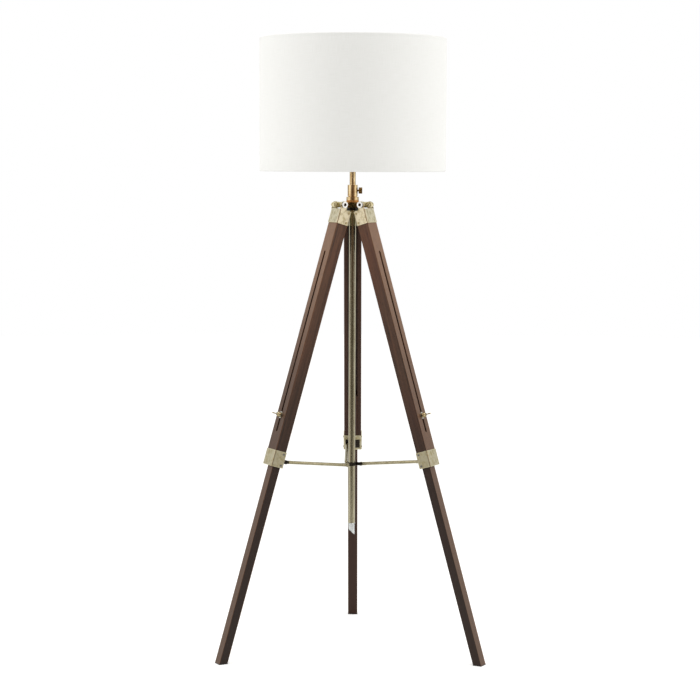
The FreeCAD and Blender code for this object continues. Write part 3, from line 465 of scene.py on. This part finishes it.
def castHeadBrass():
    material, add = startMaterial("sandCastHeadBrass")
    space = add("TexCoord", {}, "Object")
    scaled = add("Mapping", {"Vector": space, "Scale": perMm(castHead["sand"])})
    sand = add("TexNoise", {"Vector": scaled, "Scale": 1.0, "Detail": castHead["detail"]})
    scaled = add("Mapping", {"Vector": space, "Scale": perMm(castHead["cloud"])})
    cloud = add("TexNoise", {"Vector": scaled, "Scale": 1.0, "Detail": castHead["detail"],
                             "Distortion": castHead["cloudDistortion"]})
    clouds = add("MapRange", {0: cloud, 1: castHead["cloudFrom"], 2: castHead["cloudTo"]})
    neck = add("Mix", {0: clouds, 6: castHead["neckDark"], 7: castHead["neck"]}, 2, data_type="RGBA")
    arm = add("Mix", {0: clouds, 6: castHead["armDark"], 7: castHead["arm"]}, 2, data_type="RGBA")
    flat = add("VectorMath", {0: space, 1: (1.0, 1.0, 0.0)}, operation="MULTIPLY")
    reach = add("VectorMath", {0: flat}, "Value", operation="LENGTH")
    # painted shade at the neck, then a painted warm reflection at the arms' roots, then the arms' own gold
    toRoot = add("MapRange", {0: reach, 1: castHead["neckEnd"], 2: castHead["rootEnd"]})
    toArm = add("MapRange", {0: reach, 1: castHead["rootEnd"], 2: castHead["armStart"]})
    colour = add("Mix", {0: toRoot, 6: neck, 7: castHead["reflectedRoot"]}, 2, data_type="RGBA")
    colour = add("Mix", {0: toArm, 6: colour, 7: arm}, 2, data_type="RGBA")
    bump = add("Bump", {"Strength": castHead["bump"], "Distance": castHead["relief"], "Height": sand})
    smooth, rough = castHead["roughness"]
    shader = add("BsdfPrincipled", {
        "Base Color": colour, "Metallic": 1.0, "Normal": bump,
        "Roughness": add("MapRange", {0: cloud, 3: rough, 4: smooth})})
    add("OutputMaterial", {0: shader})
    return material


metalPieces = {
    "centre_tube": tubeBrass, "post": turnedBrass, "clamp_sleeve": turnedBrass, "upper_ring": turnedBrass,
    "lower_ring": copperBronze, "thumb_screw": dippedBrass, "hinge_bolts": socketSteel,
    "hinge_nuts": socketSteel, "stop_bolts": paleBrass, "stop_nuts": paleBrass, "bulb_cap": platedSteel,
    "lock_nut": blackenedSteel, "spreader_ring": blackenedSteel, "hub": castHeadBrass(),
}
for number in legNumbers:
    metalPieces |= {
        f"spreader_rod_{number}": barBrass, f"washer_{number}": platedSteel,
        f"clamp_bolt_{number}": dulledSteel, f"rod_bracket_{number}": blackenedSteel,
        f"rod_pin_{number}": blackenedSteel, f"wood_screws_{number}": woodScrewSteel,
        f"wing_nut_{number}": castBrass,
    }
for pieceName, metal in metalPieces.items():
    paint(pieceName, metal)
print("metal parts finished")


# Small parts in plain stuffs. Each has its own faint unevenness in colour and skin.
plainSkin = {"detail": 3.0, "from": 0.35, "to": 0.65, "bump": 0.4}


def plainStuff(name, look, finish):
    material, add = startMaterial(name)
    space = add("TexCoord", {}, "Object")
    scaled = add("Mapping", {"Vector": space, "Scale": perMm(look["mottle"])})
    mottle = add("TexNoise", {"Vector": scaled, "Scale": 1.0, "Detail": plainSkin["detail"]})
    tone = add("MapRange", {0: mottle, 1: plainSkin["from"], 2: plainSkin["to"]})
    bump = add("Bump", {"Strength": plainSkin["bump"], "Distance": look["relief"], "Height": mottle})
    smooth, rough = look["roughness"]
    shader = add("BsdfPrincipled", finish | {
        "Base Color": add("Mix", {0: tone, 6: look["dark"], 7: look["light"]}, 2, data_type="RGBA"),
        "Roughness": add("MapRange", {0: mottle, 3: rough, 4: smooth}), "Normal": bump})
    add("OutputMaterial", {0: shader})
    return material


# Pressed wool felt: matt, fuzzy, nearly black.
feltPads = plainStuff("pressedBlackFelt", {
    "light": "#2a2826", "dark": "#141312", "mottle": (0.8, 0.8, 0.8), "roughness": (0.9, 1.0),
    "relief": 0.0004}, {"Sheen Weight": 0.4})
# Clear moulded PVC bush: glassy with slightly milky bends.
clearBush = plainStuff("clearPvc", {
    "light": "#fbfcfc", "dark": "#e6ecea", "mottle": (6, 6, 14), "roughness": (0.06, 0.16),
    "relief": 0.00005},
    {"IOR": 1.53, "Transmission Weight": 0.45, "Coat Weight": 0.5, "Coat Roughness": 0.05})
# Black phenolic moulding: hard with a soft gloss.
phenolic = plainStuff("blackPhenolic", {
    "light": "#242322", "dark": "#171716", "mottle": (3, 3, 3), "roughness": (0.3, 0.42),
    "relief": 0.00005}, {"IOR": 1.6})
# Glazed steatite: white with a wet shine.
glazedCeramic = plainStuff("glazedSteatite", {
    "light": "#efece2", "dark": "#ddd8ca", "mottle": (5, 5, 5), "roughness": (0.12, 0.2),
    "relief": 0.00008}, {"IOR": 1.52})
# Opal glass blown thin: milky white, glossy outside.
opalGlass = plainStuff("opalBlownGlass", {
    "light": "#f8f6ef", "dark": "#eeebe0", "mottle": (20, 20, 20), "roughness": (0.08, 0.14),
    "relief": 0.00004}, {"IOR": 1.5, "Subsurface Weight": 0.15, "Subsurface Scale": 0.01})
# Wire dipped in white enamel: thick glossy skin with small runs.
enamelledWire = plainStuff("whiteEnamelledWire", {
    "light": "#efeee9", "dark": "#dddcd5", "mottle": (2.5, 2.5, 6), "roughness": (0.25, 0.4),
    "relief": 0.00012}, {"IOR": 1.5, "Coat Weight": 0.3})

for number in legNumbers:
    paint(f"foot_pad_{number}", feltPads)
paint("cable_outlet", clearBush)
for pieceName in ("lampholder_cup", "lampholder_shell", "shade_nuts"):
    paint(pieceName, phenolic)
paint("contact_plate", glazedCeramic)
paint("bulb_glass", opalGlass)
paint("top_wire_ring", enamelledWire)
paint("shade_carrier", enamelledWire)
print("small parts finished")


# Shade: plain-woven polycotton laminated to a styrene sheet. The cloth is rolled over a wire at
# each edge, and its ends overlap in one glued seam at the back. Lengths are in metres, but for the
# thread and its slubs in mm. A thread is 0.25 mm, drawn here at twice that so that it shows.
shade = {
    "cloth": 0.0005, "roll": 0.0026, "rollProud": 0.0002, "rollSteps": 9, "turnIn": 0.012,
    "turnInSlack": 0.0006, "crease": 0.0007, "creaseRise": 0.0062, "creaseRun": 0.003,
    "wallInset": 0.0001, "wallSteps": 12, "seamWidth": 0.014, "seamProud": 0.0006, "seamEdge": 0.001,
    "wave": 0.00018, "waveScale": (14, 14, 5), "steps": 384,
    "white": "#f6f6f3", "shadow": "#efefeb",
    "thread": 0.5, "slub": 30, "threadDetail": 2.0, "threadFrom": 0.7, "threadTo": 1.2,
    "roughness": 0.85, "ior": 1.45, "sheen": 0.1, "sheenRoughness": 0.4, "bump": 0.25, "relief": 0.00015,
    "liner": 0.0003, "linerGap": 0.0001, "linerShort": 0.001,
}
shadeLow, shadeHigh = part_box("shade_drum")
shadeRadius = shadeHigh.x


# Cloth from its glued turn-in, round the wire, over the crease and up to the wall.
def edgeOutline(edge, up):
    wire = shade["roll"]
    centre = shadeRadius - wire + shade["rollProud"]
    outline = [(centre - wire + shade["turnInSlack"], edge + up * shade["turnIn"]),
               (centre - wire, edge + up * 2 * wire)]
    for step in range(shade["rollSteps"] + 1):
        angle = math.radians(180 + 180 * step / shade["rollSteps"])
        outline.append((centre + wire * math.cos(angle), edge + up * (wire + wire * math.sin(angle))))
    outline.append((shadeRadius - shade["crease"], edge + up * shade["creaseRise"]))
    wallStart = shade["creaseRise"] + shade["creaseRun"]
    outline.append((shadeRadius - shade["wallInset"], edge + up * wallStart))
    return outline


def sewCover():
    shape = bmesh.new()
    low, high = edgeOutline(shadeLow.z, 1), edgeOutline(shadeHigh.z, -1)[::-1]
    foot, rise = low[-1][1], high[0][1] - low[-1][1]
    wall = [(shadeRadius - shade["wallInset"], foot + rise * step / shade["wallSteps"])
            for step in range(1, shade["wallSteps"])]
    lathe(shape, low + wall + high, steps=shade["steps"])
    for vertex in shape.verts:
        radius = math.hypot(vertex.co.x, vertex.co.y)
        around = math.atan2(vertex.co.x, vertex.co.y) * radius
        begun = (around + shade["seamEdge"] / 2) / shade["seamEdge"]
        left = (shade["seamWidth"] - around) / shade["seamEdge"]
        overlap = min(1.0, max(0.0, begun)) * min(1.0, max(0.0, left))
        wave = noise.noise(vertex.co * Vector(shade["waveScale"]))
        grow = 1 + (shade["seamProud"] * overlap + shade["wave"] * wave) / radius
        vertex.co.x *= grow
        vertex.co.y *= grow
    return shape


# Polycotton: matt white, a fine over-and-under of threads with the odd thick one showing.
def wovenPolycotton():
    material, add = startMaterial("wovenPolycotton")
    own = add("TexCoord", {}, "Object")
    behind = add("Math", {0: add("SeparateXYZ", {0: own}, 1), 1: -1.0}, operation="MULTIPLY")
    turn = add("Math", {0: add("SeparateXYZ", {0: own}, 0), 1: behind}, operation="ARCTAN2")
    around = add("Math", {0: turn, 1: shadeRadius}, operation="MULTIPLY")
    space = add("CombineXYZ", {0: around, 2: add("SeparateXYZ", {0: own}, 2)})
    runs = []
    for size in ((shade["thread"], 1, shade["slub"]), (shade["slub"], 1, shade["thread"])):
        scaled = add("Mapping", {"Vector": space, "Scale": perMm(size)})
        runs.append(add("TexNoise", {"Vector": scaled, "Scale": 1.0, "Detail": shade["threadDetail"]}))
    threads = add("Math", {0: runs[0], 1: runs[1]}, operation="ADD")
    raised = add("MapRange", {0: threads, 1: shade["threadFrom"], 2: shade["threadTo"]})
    shader = add("BsdfPrincipled", {
        "Base Color": add("Mix", {0: raised, 6: shade["shadow"], 7: shade["white"]}, 2, data_type="RGBA"),
        "Roughness": shade["roughness"], "IOR": shade["ior"],
        "Sheen Weight": shade["sheen"], "Sheen Roughness": shade["sheenRoughness"],
        "Normal": add("Bump", {"Strength": shade["bump"], "Distance": shade["relief"], "Height": threads})})
    add("OutputMaterial", {0: shader})
    return material


cloth = addPiece("shadeCloth", sewCover(), "lamp", "shade_fabric", wovenPolycotton(), "shade_drum")
thick = cloth.modifiers.new("clothThickness", "SOLIDIFY")
thick.thickness = shade["cloth"]
thick.offset = 1.0
styrene = plainStuff("whiteStyreneSheet", {
    "light": "#f6f6f3", "dark": "#f2f2ee", "mottle": (14, 14, 20), "roughness": (0.5, 0.6),
    "relief": 0.00002}, {"IOR": 1.55})
linerShape = bmesh.new()
linerOut = shadeRadius - shade["crease"] - shade["cloth"] - shade["linerGap"]
linerIn = linerOut - shade["liner"]
linerLow = shadeLow.z + 2 * shade["roll"] + shade["linerShort"]
linerHigh = shadeHigh.z - 2 * shade["roll"] - shade["linerShort"]
linerOutline = [(linerOut, linerLow), (linerOut, linerHigh), (linerIn, linerHigh), (linerIn, linerLow)]
lathe(linerShape, linerOutline, steps=shade["steps"], closed=True)
addPiece("shadeLiner", linerShape, "lamp", "shade_fabric", styrene, "shade_drum")
print("shade covered")


# Wing nuts, cast brass: a tapered hub with two flared wings, softened all over by tumbling. Both
# outlines are in mm, out from the hub's axis and up from its foot.
wingNut = {
    "hub": [(3.1, 0.3), (3.4, 0), (6.0, 0), (6.5, 0.5), (5.15, 7.1), (4.2, 8.0), (3.5, 8.0), (3.1, 7.6)],
    "wing": [(4.2, 1.7), (6.8, 1.5), (9.4, 3.4), (11.8, 6.6), (13.6, 10.4), (14.3, 13.4), (13.4, 15.6),
             (11.4, 15.9), (9.6, 14.0), (8.2, 10.8), (6.4, 8.2), (4.2, 7.2)],
    "wingMiddle": (9.2, 8.0), "plate": 2.8, "bevel": 0.45, "shrink": 0.35, "steps": 40, "rounding": 2,
}


def castWingNut(place):
    shape = bmesh.new()
    lathe(shape, wingNut["hub"], steps=wingNut["steps"], closed=True)
    half, bevel, shrink = wingNut["plate"] / 2, wingNut["bevel"], wingNut["shrink"]
    middleOut, middleUp = wingNut["wingMiddle"]
    for side in (1, -1):
        faces = []
        for across, inset in ((-half, shrink), (-half + bevel, 0.0), (half - bevel, 0.0), (half, shrink)):
            middle = Vector((side * middleOut, across, middleUp))
            points = [Vector((side * out, across, up)) for out, up in wingNut["wing"]]
            points = [point + (middle - point).normalized() * inset for point in points]
            faces.append([shape.verts.new(point) for point in points])
        for first, second in zip(faces, faces[1:]):
            for at in range(len(first)):
                after = (at + 1) % len(first)
                shape.faces.new((first[at], first[after], second[after], second[at]))
        shape.faces.new(faces[0])
        shape.faces.new(faces[-1])
    bmesh.ops.scale(shape, vec=(0.001, 0.001, 0.001), verts=shape.verts)
    bmesh.ops.transform(shape, matrix=place, verts=shape.verts)
    return shape


for number in legNumbers:
    # the wings span the leg's width, and the hub's axis is the bolt's
    upright = Matrix(((0, 0, 1), (1, 0, 0), (0, 1, 0))).to_4x4()
    piece = addPiece(f"wingNut_{number}", castWingNut(legMatrix(number) @ upright), f"wing_{number}",
                     "antique_brass", castBrass, f"wing_nut_{number}")
    smooth = piece.modifiers.new("tumbled", "SUBSURF")
    smooth.levels = smooth.render_levels = wingNut["rounding"]
print("wing nuts cast")


# Studio: a pale floor, a soft box at each side of the lamp and one overhead, in a white room. A
# round screen that only reflections see darkens the room, most of all at the camera's end. Each
# pair of the screen's settings is for its low part and its top.
studio = {
    "floorRadius": 9.0, "floorSteps": 96, "floorColour": "#e9e8e5", "floorWorn": "#efeeeb",
    "floorLift": 0.42, "soilScale": 3.0, "soilDetail": 3.0, "ambient": 0.825,
    "sideDistance": 2.3, "sideTurn": 86, "sideSize": (1.3, 2.4), "sideHeight": 1.05, "sidePower": 12.5,
    "topHeight": 3.4, "topSize": (2.6, 2.6), "topPower": 18,
    "screenRadius": 1.8, "screenHeight": 4.0, "screenSteps": 72, "screenTopFrom": 0.9, "screenTopTo": 1.05,
    "screenDark": (0.08, 0.18), "screenGain": (0.98, 2.75), "screenBack": (0.68, 0.8), "screenFalloff": 3.0,
    "screenWarm": ("#dcc8a4", "#e0904a"),
}


def layFloor():
    material, add = startMaterial("paintedFloor")
    seen = add("LightPath", {}, "Is Camera Ray")
    own = add("TexCoord", {}, "Object")
    soil = add("TexNoise", {"Vector": own, "Scale": studio["soilScale"], "Detail": studio["soilDetail"]})
    colour = add("Mix", {0: soil, 6: studio["floorColour"], 7: studio["floorWorn"]}, 2, data_type="RGBA")
    lift = add("Math", {0: seen, 1: studio["floorLift"]}, operation="MULTIPLY")
    body = add("BsdfDiffuse", {"Color": colour})
    lit = add("AddShader", {0: body, 1: add("Emission", {"Color": "#ffffff", "Strength": lift})})
    # seen from below, the floor is clear
    under = add("NewGeometry", {}, "Backfacing")
    add("OutputMaterial", {0: add("MixShader", {0: under, 1: lit, 2: add("BsdfTransparent", {})})})
    shape = bmesh.new()
    ring = ringOfPoints(Matrix(), studio["floorRadius"], 0, studio["floorSteps"])
    shape.faces.new([shape.verts.new(point) for point in ring])
    floor = addObject("studioFloor", shape, material)


def hangScreen():
    material, add = startMaterial("darkEndScreen")
    place = add("TexCoord", {}, "Object")
    aside = add("SeparateXYZ", {0: place}, 0)
    aside = add("Math", {0: aside, 1: studio["screenRadius"]}, operation="DIVIDE")
    aside = add("Math", {0: aside}, operation="ABSOLUTE")
    paler = add("Math", {0: aside, 1: studio["screenFalloff"]}, operation="POWER")
    height = add("SeparateXYZ", {0: place}, 2)
    levels = {}
    for key in ("screenDark", "screenGain", "screenBack"):
        low, top = studio[key]
        levels[key] = add("MapRange", {0: height, 1: studio["screenTopFrom"], 2: studio["screenTopTo"],
                                       3: low, 4: top})
    strength = add("Math", {0: paler, 1: levels["screenGain"], 2: levels["screenDark"]},
                   operation="MULTIPLY_ADD")
    back = add("SeparateXYZ", {0: place}, 1)
    behind = add("MapRange", {0: back, 1: -studio["screenRadius"] / 2, 2: 0.0})
    strength = add("Mix", {0: behind, 2: strength, 3: levels["screenBack"]})
    low, top = studio["screenWarm"]
    risen = add("MapRange", {0: height, 1: studio["screenTopFrom"], 2: studio["screenTopTo"]})
    warm = add("Mix", {0: risen, 6: low, 7: top}, 2, data_type="RGBA")
    plain = add("Math", {0: aside, 1: behind}, operation="MAXIMUM")
    colour = add("Mix", {0: plain, 6: warm, 7: "#ffffff"}, 2, data_type="RGBA")
    add("OutputMaterial", {0: add("Emission", {"Color": colour, "Strength": strength})})
    shape = bmesh.new()
    outline = [(studio["screenRadius"], 0), (studio["screenRadius"], studio["screenHeight"])]
    lathe(shape, outline, steps=studio["screenSteps"])
    screen = addObject("darkEndScreen", shape, material)
    screen.visible_camera = screen.visible_diffuse = False
    screen.visible_shadow = screen.visible_transmission = False


def hangLamp(name, place, target, size, power):
    data = bpy.data.lights.new(name, "AREA")
    data.shape = "RECTANGLE"
    data.size, data.size_y = size
    data.energy = power
    lamp = bpy.data.objects.new(name, data)
    bpy.context.scene.collection.objects.link(lamp)
    lamp.location = place
    lamp.rotation_euler = (place - target).to_track_quat("Z", "Y").to_euler()


def lightStudio():
    middle = Vector((0, 0, studio["sideHeight"]))
    for side in (-1, 1):
        turn = math.radians(studio["sideTurn"])
        reach = Vector((side * math.sin(turn), -math.cos(turn), 0)) * studio["sideDistance"]
        hangLamp("sideBox", middle + reach, middle, studio["sideSize"], studio["sidePower"])
    hangLamp("topBox", Vector((0, 0, studio["topHeight"])), Vector(), studio["topSize"], studio["topPower"])
    world = bpy.data.worlds.new("whiteRoom")
    bpy.context.scene.world = world
    world.use_nodes = True
    world.node_tree.nodes.clear()
    add = partial(addNode, world.node_tree)
    seen = add("LightPath", {}, "Is Camera Ray")
    for ray in ("Is Glossy Ray", "Is Transmission Ray"):
        seen = add("Math", {0: seen, 1: add("LightPath", {}, ray)}, operation="MAXIMUM")
    dim = add("Background", {"Color": "#ffffff", "Strength": studio["ambient"]})
    white = add("Background", {"Color": "#ffffff", "Strength": 1.0})
    add("OutputWorld", {0: add("MixShader", {0: seen, 1: dim, 2: white})})


layFloor()
hangScreen()
lightStudio()
bpy.context.scene.view_settings.view_transform = "Standard"
print("studio lit")
